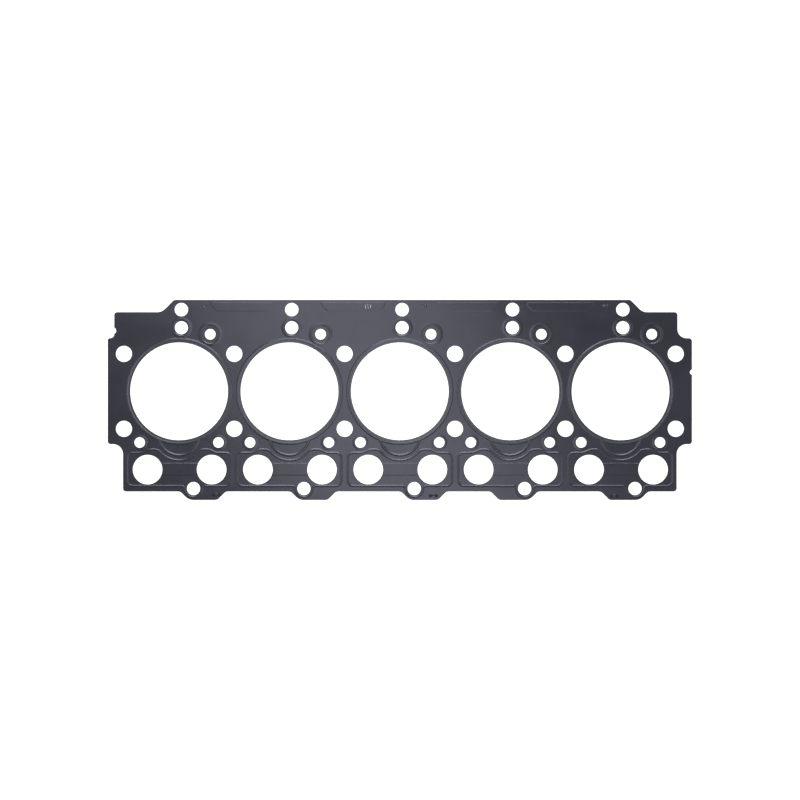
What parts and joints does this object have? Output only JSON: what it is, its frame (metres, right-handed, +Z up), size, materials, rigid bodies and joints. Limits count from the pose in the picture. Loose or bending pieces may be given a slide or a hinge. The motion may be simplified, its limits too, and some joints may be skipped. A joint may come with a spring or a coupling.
{
  "type": "cylinder head gasket",
  "caption": "Multi-layer steel cylinder head gasket for an inline engine, a flat sheet with round bore openings in a row, head-bolt holes, fluid passages and embossed sealing beads.",
  "frame": {"origin": "on the axis of the middle bore opening, on the flat underside that lies on the engine block", "axes": "+X along the row of bore openings, +Y towards the rim with the paired drain passages, +Z up from the block to the cylinder head"},
  "size_m": [0.5426, 0.1859, 0.0012],
  "materials": {
    "coated_spring_steel": "satin",
    "coated_carrier_steel": "satin",
    "stopper_steel": "satin"
  },
  "bodies": {
    "root": {"carrier_layer": "coated_carrier_steel", "upper_bead_layer": "coated_spring_steel", "bore_stopper_ring_1": "stopper_steel", "bore_stopper_ring_2": "stopper_steel", "bore_stopper_ring_3": "stopper_steel", "bore_stopper_ring_4": "stopper_steel", "bore_stopper_ring_5": "stopper_steel"}
  },
  "joints": []
}
